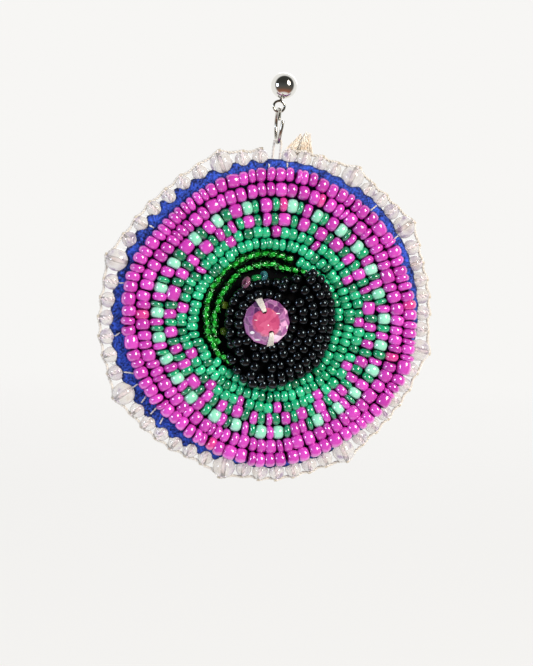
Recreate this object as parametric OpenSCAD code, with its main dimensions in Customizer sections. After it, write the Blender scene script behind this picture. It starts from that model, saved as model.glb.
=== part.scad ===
// Drop earring: a ball stud, a jump ring and a round medallion of beads sewn on a felt disc.
// Millimetres. +Z is up, the front faces -Y and the post points along +Y.
// The origin is the root of the post, where the back of the ball meets the ear.

/* [Ear stud] */
// Diameter of the polished ball
ball_d = 4.6; // [4.2:0.1:5.2]
// Diameter of the post behind the ball
post_d = 0.8; // [0.7:0.05:0.9]
// Length of the post behind the ball, up to its rounded tip
post_l = 10; // [8:0.5:12]
// Wire of the round loop under the ball
loop_wire_d = 0.45; // [0.4:0.05:0.5]
// Inside diameter of the round loop
loop_bore_d = 1.45; // [1.4:0.05:1.8]
// Bare length of the neck between the ball and the loop
neck_l = 0.15; // [0.1:0.05:0.4]
// Turn of the stud in the ear, in degrees, which carries the loop to the left
stud_turn = 11; // [0:1:15]

/* [Jump ring] */
// Outside diameter of the jump ring
ring_od = 6.4; // [6:0.1:7]
// Wire of the jump ring
ring_wire_d = 0.55; // [0.5:0.05:0.6]
// Place of the cut, in degrees from the ring's lowest point up its front
ring_cut_at = 106; // [60:1:130]
// Width of the cut, in degrees of the ring
ring_cut = 4; // [3:1:8]

/* [Hanging loop] */
// Thickness of the thread loop
hang_thread_d = 0.45; // [0.4:0.05:0.5]
// Distance from the jump ring's lowest wire down to the felt's top edge
hang_reach = 2.9; // [2.6:0.1:3.4]
// How far the thread loop leans back to reach the felt
hang_back = 1.3; // [0.8:0.1:1.8]

/* [Felt] */
// Diameter of the felt disc
felt_d = 53.2; // [52.8:0.1:53.6]
// Thickness of the felt disc
felt_t = 2; // [1.6:0.1:2.4]

/* [Edging beads] */
// Diameter of a small clear bead
small_bead_d = 2.62; // [2.5:0.02:2.62]
// Sewing hole of a small clear bead
small_hole_d = 0.9; // [0.85:0.05:1]
// Distance from the felt's rim out to the centre of a small bead
small_bead_out = 0.8; // [0.7:0.05:1]
// Diameter of a large clear bead
large_bead_d = 4; // [3.7:0.1:4]
// Sewing hole of a large clear bead
large_hole_d = 1.2; // [0.9:0.1:1.3]
// Distance from the felt's rim out to the centre of a large bead
large_bead_out = 1.15; // [1.1:0.05:1.4]
// Thickness of the edging thread
edge_thread_d = 0.6; // [0.5:0.05:0.6]

/* [Bead field] */
// Shift of the bead rows to the right of the felt's centre
field_x = 0.4; // [0:0.05:0.5]
// Shift of the bead rows below the felt's centre
field_down = 0.7; // [0:0.05:0.8]

/* [Black dome] */
// Diameter of the dome at its widest
dome_d = 19.5; // [19:0.1:19.6]
// Diameter of the dome's foot on the felt
dome_foot_d = 17.2; // [16:0.1:17.2]
// Height of the dome's widest line above the felt
dome_rim_h = 2.6; // [2.6:0.1:3]
// Height of the dome's top above the felt
dome_top_h = 4.4; // [4.1:0.1:4.8]
// Shift of the dome to the right of the rows' centre
dome_x = 1.1; // [0.8:0.05:1.1]
// Shift of the dome below the rows' centre
dome_down = 1.45; // [1:0.05:1.45]

/* [Stone] */
// Diameter of the stone
stone_d = 8; // [7.6:0.1:8.2]
// Thickness of the stone
stone_t = 2.5; // [2.2:0.1:2.8]
// Number of facets round the stone
stone_facets = 12; // [8:1:12]
// Diameter of the stone's two sewing holes
stone_hole_d = 0.9; // [0.7:0.1:1]
// Distance between the two sewing holes
stone_hole_pitch = 4; // [3.4:0.1:4.6]
// Shift of the stone to the left of the dome's centre
stone_left = 2; // [0:0.1:2]
// Shift of the stone above the dome's centre
stone_up = 0.9; // [0:0.1:0.9]

/* [Hidden] */
// Columns of ROWS: radius of the row, size of its beads, and where it starts and ends, clockwise from the top
ROW_R = 0;
ROW_D = 1;
ROW_FROM = 2;
ROW_TO = 3;
ROWS = [
    [24.40, 2.20, 0, 360],
    [21.95, 2.20, 0, 360],
    [19.50, 2.20, 0, 360],
    [17.20, 2.10, 0, 360],
    [15.20, 1.85, 0, 360],
    [13.30, 1.85, 0, 360],
    [11.50, 1.65, 24, 231],
    [11.00, 1.50, 234, 380],
    [9.50, 1.40, 242, 399]
];

// Columns of EDGE_RUNS: where a large bead stands, clockwise from the top, and how many small beads follow it.
// The first row is the gap that the jump ring hangs in.
RUN_AT = 0;
RUN_SMALLS = 1;
balance_x = 0.65;
small_ring_r = felt_d / 2 + small_bead_out;
large_ring_r = felt_d / 2 + large_bead_out;
EDGE_RUNS = [
    [asin(balance_x / small_ring_r), 4],
    [30.5, 3],
    [56.4, 6],
    [101.4, 6],
    [148.1, 6],
    [193.2, 6],
    [238.6, 6],
    [287.6, 6],
    [341.2, 2]
];

// Columns of TUFT_LOCKS: lean of the lock, clockwise from straight out, its lean to the front, and its length
LOCK_LEAN = 0;
LOCK_FRONT = 1;
LOCK_LENGTH = 2;
TUFT_LOCKS = [
    [-58, 10, 1.9],
    [-34, 0, 2.6],
    [-14, 14, 3.0],
    [4, -8, 3.2],
    [20, 10, 2.9],
    [44, 4, 2.1]
];

// The stud and the two places where one wire hangs in another
ball_r = ball_d / 2;
hang_y = -ball_r;
loop_r = (loop_bore_d + loop_wire_d) / 2;
loop_drop = ball_r + neck_l + loop_wire_d + loop_bore_d / 2;
loop_x = -loop_drop * sin(stud_turn);
loop_z = -loop_drop * cos(stud_turn);
post_tip = post_d / 4;
wire_play = 0.06;
ring_pivot_z = loop_z - loop_r;
ring_r = (ring_od - ring_wire_d) / 2;
ring_z = ring_pivot_z + (loop_wire_d + ring_wire_d) / 2 + wire_play - ring_r;
drop_pivot_z = ring_z - ring_r;
hang_play = 0.14;
hang_bend_r = (ring_wire_d + hang_thread_d) / 2 + hang_play;
hang_lean = atan(hang_back / hang_reach);

// The medallion hangs with its centre of mass straight below the jump ring's lowest wire
piece_gap = 0.05;
felt_r = felt_d / 2;
balance_y = 0.82;
medallion_x = loop_x - balance_x;
medallion_z = drop_pivot_z - hang_reach - felt_r;
felt_front_y = hang_y + balance_y;

// The edging beads, spread evenly over each run
small_r = small_bead_d / 2;
large_r = large_bead_d / 2;
small_half = asin(small_r / small_ring_r);
large_half = asin(large_r / large_ring_r);
gap_half = asin((hang_bend_r + hang_thread_d / 2) / small_ring_r);
last_run = len(EDGE_RUNS) - 1;
function run_from(i) = EDGE_RUNS[i][RUN_AT] + (i == 0 ? gap_half : large_half);
function run_to(i) = i < last_run ? EDGE_RUNS[i + 1][RUN_AT] - large_half : 360 + EDGE_RUNS[0][RUN_AT] - gap_half;
function run_space(i) = let (n = EDGE_RUNS[i][RUN_SMALLS]) (run_to(i) - run_from(i) - 2 * n * small_half) / (n + 1);
function small_at(i, k) = run_from(i) + run_space(i) * (k + 1) + small_half * (2 * k + 1);
function run_smalls(i) = [
    for (k = [0 : EDGE_RUNS[i][RUN_SMALLS] - 1]) [small_at(i, k), small_ring_r, small_r, small_hole_d]
];
function run_large(i) = i == 0 ? [] : [[EDGE_RUNS[i][RUN_AT], large_ring_r, large_r, large_hole_d]];

// Columns of an edging bead: angle clockwise from the top, radius of its centre, its own radius, its hole
AT = 0;
OUT = 1;
SIZE = 2;
HOLE = 3;
edge_beads = [for (i = [0 : last_run]) each concat(run_large(i), run_smalls(i))];
small_beads = [for (b = edge_beads) if (b[SIZE] == small_r) b];
large_beads = [for (b = edge_beads) if (b[SIZE] == large_r) b];

// The edging thread is pulled tight from the outer end of one bead to the next, and bends over large ones
edge_thread_r = edge_thread_d / 2;
thread_lift = edge_thread_r + 0.08;
thread_sides = 6;
thread_steps = 4;
function pole(b) = b[OUT] + b[SIZE] + thread_lift;
function over_bead(b, a) = let (off = b[OUT] * sin(a - b[AT]), lift = b[SIZE] + thread_lift)
    abs(off) < lift ? b[OUT] * cos(a - b[AT]) + sqrt(lift * lift - off * off) : 0;
function chord(b, c, a) =
    pole(b) * pole(c) * sin(c[AT] - b[AT]) / (pole(b) * sin(a - b[AT]) + pole(c) * sin(c[AT] - a));
function thread_out(b, c, a) = max(over_bead(b, a), over_bead(c, a), chord(b, c, a));
function clock(a, r) = [r * sin(a), r * cos(a)];
thread_route = [
    for (j = [0 : len(edge_beads) - 2], s = [0 : j < len(edge_beads) - 2 ? thread_steps - 1 : thread_steps])
        let (b = edge_beads[j], c = edge_beads[j + 1], a = b[AT] + (c[AT] - b[AT]) * s / thread_steps)
            clock(a, thread_out(b, c, a))
];

// The dome's cap is part of a large sphere that meets the rounded rim
dome_r = dome_d / 2;
dome_round_r = 1.05;
dome_shoulder_r = dome_r - dome_round_r;
cap_rise = dome_top_h - dome_rim_h - dome_round_r;
cap_r = (dome_shoulder_r * dome_shoulder_r + cap_rise * cap_rise) / (2 * cap_rise);
stone_sunk = 1.1;
stone_seat_r = stone_d / 2 + 0.15;
stone_seat_h = dome_top_h - stone_sunk;
stone_girdle_h = 0.8;
stone_belt_h = 0.35;
stone_mid_scale = 0.8;
stone_table_scale = 0.55;
stone_hole_turn = 20;

// The tuft stands behind the edging thread, between the second and first bead after the gap
tuft_knot_r = 0.75;
tuft_out = felt_r + 2.3;
tuft_at = (edge_beads[0][AT] + edge_beads[1][AT]) / 2;
tuft_back = felt_t / 2 + 1.15;
lock_root_r = 0.45;
lock_tip_r = 0.14;

METAL = "silver";
THREAD = "ivory";
MAGENTA = "mediumvioletred";
MINT = "aquamarine";
GREEN = "mediumseagreen";
EMERALD = "green";
CLEAR = "gainsboro";

$fn = 48;

// Places a piece on the front of the felt: x to the right, y up, z out of the felt
module on_felt() {
    translate([medallion_x, felt_front_y, medallion_z])
        rotate([90, 0, 0])
            children();
}

// Turns a piece that points up to a place clockwise round the felt
module round_edge(angle, out) {
    rotate([0, 0, -angle])
        translate([0, out, -felt_t / 2])
            children();
}

// The stud is soldered: ball, neck, loop and post in one
module ball_stud() {
    color(METAL) {
        translate([0, hang_y, 0])
            sphere(d = ball_d);
        translate([0, hang_y, 0])
            rotate([0, stud_turn, 0])
                translate([0, 0, -loop_drop + loop_r])
                    cylinder(d = loop_wire_d, h = loop_drop - loop_r - ball_r / 2);
        translate([loop_x, hang_y, loop_z])
            rotate([90, 0, 0])
                rotate_extrude()
                    translate([loop_r, 0])
                        circle(d = loop_wire_d);
        translate([0, hang_y, 0])
            rotate([-90, 0, 0])
                cylinder(d = post_d, h = ball_r + post_l);
        translate([0, post_l, 0])
            rotate([-90, 0, 0])
                cylinder(d1 = post_d, d2 = post_d - 2 * post_tip, h = post_tip);
    }
}

// Split ring of round wire, edge-on to the front, with its cut in the front strand
module jump_ring() {
    color(METAL)
        translate([loop_x, hang_y, ring_z])
            rotate([0, 90, 0])
                rotate([0, 0, ring_cut / 2 - ring_cut_at])
                    rotate_extrude(angle = 360 - ring_cut)
                        translate([ring_r, 0])
                            circle(d = ring_wire_d);
}

// Thread round the jump ring, with both legs sewn into the felt's top edge
module hanging_loop() {
    leg_l = (hang_reach - piece_gap - hang_thread_d / 2 * sin(hang_lean)) / cos(hang_lean);
    color(THREAD)
        translate([loop_x, hang_y, drop_pivot_z])
            rotate([hang_lean, 0, 0]) {
                rotate([90, 0, 0])
                    rotate_extrude(angle = 180)
                        translate([hang_bend_r, 0])
                            circle(d = hang_thread_d);
                for (side = [-1, 1])
                    translate([side * hang_bend_r, 0, -leg_l])
                        cylinder(d = hang_thread_d, h = leg_l);
            }
}

module felt_disc() {
    color("royalblue")
        on_felt()
            difference() {
                translate([0, 0, -felt_t])
                    cylinder(d = felt_d, h = felt_t);
                for (b = edge_beads)
                    round_edge(b[AT], b[OUT])
                        sphere(r = b[SIZE] + piece_gap);
            }
}

// A row of seed beads as the round bar that their outsides touch
module bead_row(row) {
    r = ROWS[row][ROW_R];
    d = ROWS[row][ROW_D];
    span = ROWS[row][ROW_TO] - ROWS[row][ROW_FROM];
    on_felt()
        translate([field_x, -field_down, d / 2 + piece_gap])
            rotate([0, 0, 90 - ROWS[row][ROW_TO]])
                rotate_extrude(angle = span)
                    translate([r, 0])
                        circle(d = d);
}

module magenta_row_outer() {
    color(MAGENTA)
        bead_row(0);
}

module magenta_row_inner() {
    color(MAGENTA)
        bead_row(1);
}

module mixed_row_outer() {
    color(MINT)
        bead_row(2);
}

module mixed_row_inner() {
    color(MAGENTA)
        bead_row(3);
}

module green_row_outer() {
    color(GREEN)
        bead_row(4);
}

module green_row_middle() {
    color(GREEN)
        bead_row(5);
}

module green_row_inner() {
    color(GREEN)
        bead_row(6);
}

module emerald_row_outer() {
    color(EMERALD)
        bead_row(7);
}

module emerald_row_inner() {
    color(EMERALD)
        bead_row(8);
}

// Half of the dome's outline: a foot, a rounded rim that overhangs it, and a low cap
module dome_outline() {
    square([dome_foot_d / 2, dome_rim_h]);
    translate([dome_shoulder_r, dome_rim_h])
        circle(r = dome_round_r);
    intersection() {
        translate([0, dome_top_h - cap_r])
            circle(r = cap_r, $fn = 200);
        translate([0, dome_rim_h])
            square([dome_shoulder_r, dome_top_h]);
    }
}

module on_dome() {
    on_felt()
        translate([field_x + dome_x, -field_down - dome_down, piece_gap])
            children();
}

// The mound of black beads, with a seat for the stone
module black_bead_dome() {
    color("black")
        on_dome()
            difference() {
                rotate_extrude()
                    dome_outline();
                translate([-stone_left, stone_up, stone_seat_h])
                    cylinder(r = stone_seat_r, h = dome_top_h);
            }
}

// One tier of the stone, cut with flat facets; turned by half a facet it crosses the tier below
module stone_tier(low_scale, high_scale, height, turn) {
    rotate([0, 0, turn])
        cylinder(d1 = stone_d * low_scale, d2 = stone_d * high_scale, h = height, $fn = stone_facets);
}

// Flat back, low girdle, a crown of two tiers of facets and a table, with two sewing holes
module sew_on_stone() {
    half_facet = 180 / stone_facets;
    crown_h = (stone_t - stone_girdle_h) / 2;
    color("orchid")
        on_dome()
            translate([-stone_left, stone_up, stone_seat_h + piece_gap])
                difference() {
                    union() {
                        stone_tier(0.94, 1, stone_girdle_h - stone_belt_h, 0);
                        translate([0, 0, stone_girdle_h - stone_belt_h])
                            stone_tier(1, 1, stone_belt_h, 0);
                        translate([0, 0, stone_girdle_h])
                            stone_tier(1, stone_mid_scale, crown_h, 0);
                        translate([0, 0, stone_girdle_h + crown_h])
                            stone_tier(stone_mid_scale, stone_table_scale, crown_h, half_facet);
                    }
                    rotate([0, 0, stone_hole_turn])
                        for (side = [-1, 1])
                            translate([0, side * stone_hole_pitch / 2, -stone_t])
                                cylinder(d = stone_hole_d, h = 3 * stone_t);
                }
}

// A round clear bead on the rim, drilled straight out from the felt
module edge_bead(b) {
    color(CLEAR)
        on_felt()
            round_edge(b[AT], b[OUT])
                difference() {
                    sphere(r = b[SIZE]);
                    rotate([90, 0, 0])
                        cylinder(d = b[HOLE], h = 3 * b[SIZE], center = true);
                }
}

module large_bead(i) {
    edge_bead(large_beads[i]);
}

module small_edge_beads() {
    for (b = small_beads)
        edge_bead(b);
}

// A closed bar of polygon section along flat points
module swept_thread(points, r, sides) {
    last = len(points) - 1;
    rings = [
        for (i = [0 : last])
            let (d = points[min(i + 1, last)] - points[max(i - 1, 0)], n = [-d.y, d.x] / norm(d))
                for (s = [0 : sides - 1])
                    let (t = 360 * s / sides)
                        [points[i].x + r * cos(t) * n.x, points[i].y + r * cos(t) * n.y, r * sin(t)]
    ];
    walls = [
        for (i = [0 : last - 1], s = [0 : sides - 1])
            let (u = i * sides + s, v = i * sides + (s + 1) % sides)
                [u, u + sides, v + sides, v]
    ];
    ends = [[for (s = [0 : sides - 1]) s], [for (s = [sides - 1 : -1 : 0]) last * sides + s]];
    polyhedron(points = rings, faces = concat(walls, ends));
}

// Thread over the outer ends of the beads, and the strand inside each bead
module edging_thread() {
    color(THREAD)
        on_felt() {
            translate([0, 0, -felt_t / 2])
                swept_thread(thread_route, edge_thread_r, thread_sides);
            for (b = edge_beads)
                round_edge(b[AT], b[OUT] - b[SIZE] + piece_gap)
                    rotate([-90, 0, 0])
                        cylinder(r = edge_thread_r, h = 2 * (b[SIZE] - piece_gap));
        }
}

// Frayed end of the sewing thread: a knot with its locks spread out from it
module thread_tuft() {
    color(THREAD)
        on_felt()
            rotate([0, 0, -tuft_at])
                translate([0, tuft_out, -tuft_back]) {
                    sphere(r = tuft_knot_r);
                    for (lock = TUFT_LOCKS)
                        rotate([0, 0, -lock[LOCK_LEAN]])
                            rotate([lock[LOCK_FRONT] - 90, 0, 0])
                                cylinder(r1 = lock_root_r, r2 = lock_tip_r, h = lock[LOCK_LENGTH]);
                }
}

ball_stud();
jump_ring();
hanging_loop();
felt_disc();
magenta_row_outer();
magenta_row_inner();
mixed_row_outer();
mixed_row_inner();
green_row_outer();
green_row_middle();
green_row_inner();
emerald_row_outer();
emerald_row_inner();
black_bead_dome();
sew_on_stone();
for (i = [1 : len(large_beads)])
    large_bead(i - 1);
small_edge_beads();
edging_thread();
thread_tuft();
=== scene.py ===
# A drop earring of bead embroidery: a ball stud, a jump ring, and a round felt disc
# covered with rows of seed beads round a black mound with a pink stone, edged with clear beads.
import math
import random

import bpy
from mathutils import Euler, Matrix, Vector


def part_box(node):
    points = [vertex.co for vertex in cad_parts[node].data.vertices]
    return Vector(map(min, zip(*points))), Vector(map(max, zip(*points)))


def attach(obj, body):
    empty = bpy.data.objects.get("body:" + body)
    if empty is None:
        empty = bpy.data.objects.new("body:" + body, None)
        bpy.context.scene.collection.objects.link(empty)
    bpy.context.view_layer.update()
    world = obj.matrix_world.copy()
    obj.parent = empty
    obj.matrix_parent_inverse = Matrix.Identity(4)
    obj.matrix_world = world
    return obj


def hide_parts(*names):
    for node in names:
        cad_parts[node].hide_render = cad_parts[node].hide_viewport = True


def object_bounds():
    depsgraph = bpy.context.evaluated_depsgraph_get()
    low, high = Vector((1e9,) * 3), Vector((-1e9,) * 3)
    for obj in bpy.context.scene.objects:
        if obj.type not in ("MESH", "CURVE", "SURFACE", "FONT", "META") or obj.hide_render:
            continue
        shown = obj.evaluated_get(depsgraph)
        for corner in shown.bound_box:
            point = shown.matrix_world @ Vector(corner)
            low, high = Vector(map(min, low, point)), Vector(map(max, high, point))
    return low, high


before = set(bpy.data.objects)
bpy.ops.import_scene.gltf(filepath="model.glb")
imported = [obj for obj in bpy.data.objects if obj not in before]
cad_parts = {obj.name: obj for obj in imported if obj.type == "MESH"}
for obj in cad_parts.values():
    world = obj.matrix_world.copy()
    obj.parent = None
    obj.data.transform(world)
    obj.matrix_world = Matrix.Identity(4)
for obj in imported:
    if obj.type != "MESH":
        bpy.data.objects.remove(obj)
cad_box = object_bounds()


# The ball stud: a polished ball with its neck, wire loop and post soldered on, in one
# silver-coloured metal. Its shape comes from the frame; it only takes its polish here.
MM = 0.001
METAL_COLOUR = (208, 207, 203)
WIRE_COLOUR = (172, 170, 162)
BALL_R = 2.3 * MM
METAL_ROUGHNESS = 0.05
SMUDGE_SIZE = 900
SMUDGE_ROUGHNESS = 0.08


def paint(red, green, blue):
    """A colour as the eye reads it, from 0 to 255, in the linear values that shaders take."""
    def linear(c):
        return c / 12.92 if c <= 0.04045 else ((c + 0.055) / 1.055) ** 2.4
    return tuple(linear(c / 255) for c in (red, green, blue)) + (1.0,)


class Flow:
    """A socket of a node tree. Sums on it add Math nodes, and node() adds any other node."""

    def __init__(self, tree, socket=None):
        self.tree = tree
        self.socket = socket

    def node(self, kind, inputs=None, out=0, **settings):
        made = self.tree.nodes.new(kind)
        for name, value in settings.items():
            setattr(made, name, value)
        for name, value in (inputs or {}).items():
            if isinstance(value, Flow):
                self.tree.links.new(value.socket, made.inputs[name])
            else:
                made.inputs[name].default_value = value
        return Flow(self.tree, made.outputs[out])

    def math(self, operation, *values):
        return self.node("ShaderNodeMath", dict(enumerate(values)), operation=operation)

    def __add__(self, other):
        return self.math("ADD", self, other)

    def __sub__(self, other):
        return self.math("SUBTRACT", self, other)

    def __rsub__(self, other):
        return self.math("SUBTRACT", other, self)

    def __mul__(self, other):
        return self.math("MULTIPLY", self, other)

    def __pow__(self, other):
        return self.math("POWER", self, other)

    __radd__ = __add__
    __rmul__ = __mul__

    def vector(self, operation, *values, out=0):
        return self.node("ShaderNodeVectorMath", dict(enumerate(values)), out, operation=operation)

    def scaled(self, factor):
        return self.node("ShaderNodeVectorMath", {0: self, "Scale": factor}, operation="SCALE")

    def length(self):
        return self.vector("LENGTH", self, out="Value")

    def axis(self, name):
        return self.node("ShaderNodeSeparateXYZ", {"Vector": self}, name)

    def random(self, low, high, seed):
        """A random vector for each point."""
        inputs = {"Min": low, "Max": high, "Seed": seed}
        return self.node("FunctionNodeRandomValue", inputs, data_type="FLOAT_VECTOR")

    def place(self):
        """The place of a point on the object, in metres."""
        return self.node("ShaderNodeTexCoord", out="Object")

    def noise(self, size, detail=2.0):
        """Cloudy noise from 0 to 1, with this many cells a metre."""
        inputs = {"Vector": self.place(), "Scale": size, "Detail": detail}
        return self.node("ShaderNodeTexNoise", inputs)

    def attribute(self, name, out="Fac"):
        return self.node("ShaderNodeAttribute", out=out, attribute_name=name)

    def mix(self, factor, first, second, blend="MIX"):
        """A colour this far from the first one to the second."""
        inputs = {"Factor": factor, 6: first, 7: second}
        return self.node("ShaderNodeMix", inputs, 2, data_type="RGBA", blend_type=blend)

    def span(self, low, high, first=0.0, last=1.0, **settings):
        """This value, with low to high stretched to run from first to last."""
        ends = {"From Min": low, "From Max": high, "To Min": first, "To Max": last}
        return self.node("ShaderNodeMapRange", {"Value": self, **ends}, **settings)

    def ramp(self, *stops):
        """The colour that this value has between stops of a position and a colour."""
        made = self.node("ShaderNodeValToRGB", {"Fac": self})
        elements = made.socket.node.color_ramp.elements
        while len(elements) < len(stops):
            elements.new(1.0)
        for element, (position, colour) in zip(elements, stops):
            element.position = position
            element.color = paint(*colour)
        return made

    def bump(self, strength, distance):
        """The relief of this height."""
        inputs = {"Height": self, "Strength": strength, "Distance": distance}
        return self.node("ShaderNodeBump", inputs)


def new_finish(name, **constants):
    """A material whose shader has these constants, with its shader node and a Flow to build on."""
    material = bpy.data.materials.new(name)
    material.use_nodes = True
    shader = material.node_tree.nodes["Principled BSDF"]
    for socket, value in constants.items():
        shader.inputs[socket.replace("_", " ")].default_value = value
    return material, shader, Flow(material.node_tree)


def feed(shader, **flows):
    """Links worked-out values to a shader's sockets."""
    for socket, flow in flows.items():
        flow.tree.links.new(flow.socket, shader.inputs[socket.replace("_", " ")])


def dress(obj, material):
    """Puts one material on the whole of an object."""
    obj.data.materials.clear()
    obj.data.materials.append(material)


metal, shader, flow = new_finish("polished_metal", Metallic=1.0)
below_ball = flow.math("LESS_THAN", flow.place().axis("Z"), -BALL_R)
feed(
    shader, Base_Color=flow.mix(below_ball, paint(*METAL_COLOUR), paint(*WIRE_COLOUR)),
    Roughness=flow.noise(SMUDGE_SIZE) * SMUDGE_ROUGHNESS + METAL_ROUGHNESS,
)
dress(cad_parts["ball_stud"], metal)


# The jump ring: one turn of the same wire, cut in its front strand. The two ends have
# sprung a little sideways, the lower one to the right.
RING_CUT_AT = math.radians(106)
RING_CUT = math.radians(3)
RING_SPRING = 0.62 * MM
RING_SPRING_REACH = math.radians(55)
RING_POINTS = 120
RING_SIDES = 16
RING_WIRE_THICK = 0.62 * MM
WIRE_ROUGHNESS = 0.2

ring_low, ring_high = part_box("jump_ring")
ring_centre = (ring_low + ring_high) / 2
ring_wire = ring_high.x - ring_low.x
ring_r = (ring_high.z - ring_low.z - ring_wire) / 2


def new_tree(name, **sockets):
    """A geometry tree with these named inputs, and its input node's sockets as Flows, by name."""
    tree = bpy.data.node_groups.new(name, "GeometryNodeTree")
    tree.interface.new_socket("Geometry", in_out="INPUT", socket_type="NodeSocketGeometry")
    for socket, kind in sockets.items():
        label = socket.replace("_", " ")
        tree.interface.new_socket(label, in_out="INPUT", socket_type="NodeSocket" + kind)
    tree.interface.new_socket("Geometry", in_out="OUTPUT", socket_type="NodeSocketGeometry")
    start = tree.nodes.new("NodeGroupInput")
    return {s.name: Flow(tree, s) for s in start.outputs if s.name}


def end_tree(grown, material):
    """Ends a tree: what it made becomes one real, smooth mesh with a material."""
    real = grown.node("GeometryNodeRealizeInstances", {"Geometry": grown})
    smooth = real.node("GeometryNodeSetShadeSmooth", {"Geometry": real})
    painted = smooth.node("GeometryNodeSetMaterial", {"Geometry": smooth, "Material": material})
    finish = painted.tree.nodes.new("NodeGroupOutput")
    painted.tree.links.new(painted.socket, finish.inputs[0])
    return painted.tree


def join(flows):
    """All these geometries as one."""
    tree = flows[0].tree
    joint = tree.nodes.new("GeometryNodeJoinGeometry")
    for flow in flows:
        tree.links.new(flow.socket, joint.inputs[0])
    return Flow(tree, joint.outputs[0])


def grow(name, seed_mesh, tree, **values):
    """Runs a geometry tree on a mesh and keeps the result as a plain mesh object."""
    obj = bpy.data.objects.new(name, seed_mesh)
    bpy.context.scene.collection.objects.link(obj)
    modifier = obj.modifiers.new("grow", "NODES")
    modifier.node_group = tree
    for item in tree.interface.items_tree:
        value = values.get(item.name.replace(" ", "_"))
        if item.in_out == "INPUT" and value is not None:
            modifier[item.identifier] = value
    grown = obj.evaluated_get(bpy.context.evaluated_depsgraph_get())
    plain = bpy.data.meshes.new_from_object(grown)
    obj.modifiers.clear()
    obj.data = plain
    return obj


def new_mesh(name, points, faces, edges=()):
    """A mesh of these points, with faces or bare edges between them by number."""
    mesh = bpy.data.meshes.new(name)
    mesh.from_pydata(points, edges, faces)
    return mesh


def path_mesh(*paths):
    """A mesh of bare edges along each path of points."""
    edges = []
    start = 0
    for path in paths:
        edges += [(start + i, start + i + 1) for i in range(len(path) - 1)]
        start += len(path)
    return new_mesh("paths", [point for path in paths for point in path], [], edges)


def tube(path, thickness, sides):
    """A round tube along a path, closed at its ends."""
    ring = {"Resolution": sides, "Radius": thickness * 0.5}
    section = path.node("GeometryNodeCurvePrimitiveCircle", ring)
    inputs = {"Curve": path, "Profile Curve": section, "Fill Caps": True}
    return path.node("GeometryNodeCurveToMesh", inputs)


def wire_tree(name, material):
    """A round wire along a path, of a thickness and a number of sides."""
    given = new_tree(name, Thickness="Float", Sides="Int")
    path = given["Geometry"].node("GeometryNodeMeshToCurve", {"Mesh": given["Geometry"]})
    return end_tree(tube(path, given["Thickness"], given["Sides"]), material)


def ring_point(turn):
    """A point of the jump ring, at this angle from its lowest point up its front."""
    past_cut = turn - RING_CUT_AT
    side = -1 if past_cut > 0 else 1
    fade = max(0.0, 1 - abs(past_cut) / RING_SPRING_REACH)
    across = side * RING_SPRING / 2 * fade * fade * (3 - 2 * fade)
    return ring_centre + Vector((across, -ring_r * math.sin(turn), -ring_r * math.cos(turn)))


ring_path = []
for i in range(RING_POINTS):
    turn = RING_CUT_AT + RING_CUT / 2 + (math.tau - RING_CUT) * i / (RING_POINTS - 1)
    ring_path.append(ring_point(turn if turn < math.pi + RING_CUT_AT else turn - math.tau))
wire_metal, shader, flow = new_finish(
    "drawn_wire_metal", Base_Color=paint(*WIRE_COLOUR), Metallic=1.0
)
feed(shader, Roughness=flow.noise(SMUDGE_SIZE) * SMUDGE_ROUGHNESS + WIRE_ROUGHNESS)
jump_ring = grow(
    "split_ring", path_mesh(ring_path), wire_tree("round_wire", wire_metal),
    Thickness=RING_WIRE_THICK, Sides=RING_SIDES,
)
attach(jump_ring, "ring")
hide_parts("jump_ring")


# The felt disc: two millimetres of royal blue craft felt, cut round by hand. Each clear
# bead on the rim is pulled into its edge, and short loose fibres stand out all over it.
FELT_BLUE = (58, 100, 232)
FELT_DARK = (1, 7, 62)
FELT_SHADED = (3, 4, 16)
FELT_NAP = 3100
FELT_NAP_SHARE = 0.72
FELT_CLOUDS = 900
# Painted shade, as shares: under the rows of beads, and at the felt's rim between the edging beads.
FELT_SHADE_IN_ROWS = 0.9
FELT_SHADE_AT_RIM = 0.7
FELT_RELIEF = 0.3 * MM
FELT_ROW_SHADE_FROM = 1.3 * MM
FELT_ROW_SHADE_TO = 0.3 * MM
FELT_BITE_GAP = 0.05 * MM
FELT_BITE_HALF_ANGLE = 0.1
FELT_STEPS = 720
FELT_EDGE_STEPS = 7
FELT_FACE_RINGS = 20
FELT_EDGE_ROUND = 0.22 * MM
FELT_UNEVEN = 0.2 * MM
FELT_SWELLS = 420
FELT_FIBRES = 3900
FIBRE_LENGTH = 0.95 * MM
FIBRE_THICK = 0.036

# The edging beads that bite into the felt, clockwise from the gap where the drop hangs.
# Large beads are nodes of their own; the runs count the small beads between them.
SMALLS_IN_RUN = [4, 3, 6, 6, 6, 6, 6, 6, 2]
SMALL_BEAD_OUT = 0.8 * MM
LARGE_BEAD_OUT = 1.15 * MM
SMALL_BEAD_R = 1.4 * MM
EDGE_BEAD_PLAY = 0.02 * MM

# How the rim strays from true circles. Columns: clockwise angle in the photo, and the
# millimetres outwards for the felt's edge and for the middles of the edging beads.
CAMERA_ROLL_DEGREES = 2.3
EDGE_SWAY = [
    (0, 0.1, -0.35), (10, 0.2, 0.05), (26, 0.25, 0.15), (39, 0.75, 0.5), (51, 0.6, 0.8),
    (65, 0.5, 0.75), (72, 0.35, 0.3), (85, 0.35, 0.25), (98, 0.2, 0.1), (112, 0.05, 0.1),
    (131, 0.0, -0.15), (145, 0.05, 0.0), (163, 0.3, 0.1), (177, 0.45, 0.35), (190, 0.15, -0.1),
    (207, 0.5, -0.45), (216, 0.65, -0.05), (229, 0.9, 0.35), (247, 0.8, 0.5), (262, 0.65, 0.35),
    (276, 0.2, -0.05), (290, 0.0, -0.35), (307, -0.1, -0.85), (321, 0.05, -1.2),
    (333, -0.2, -0.55), (352, 0.05, -0.55), (360, 0.1, -0.35),
]

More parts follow.
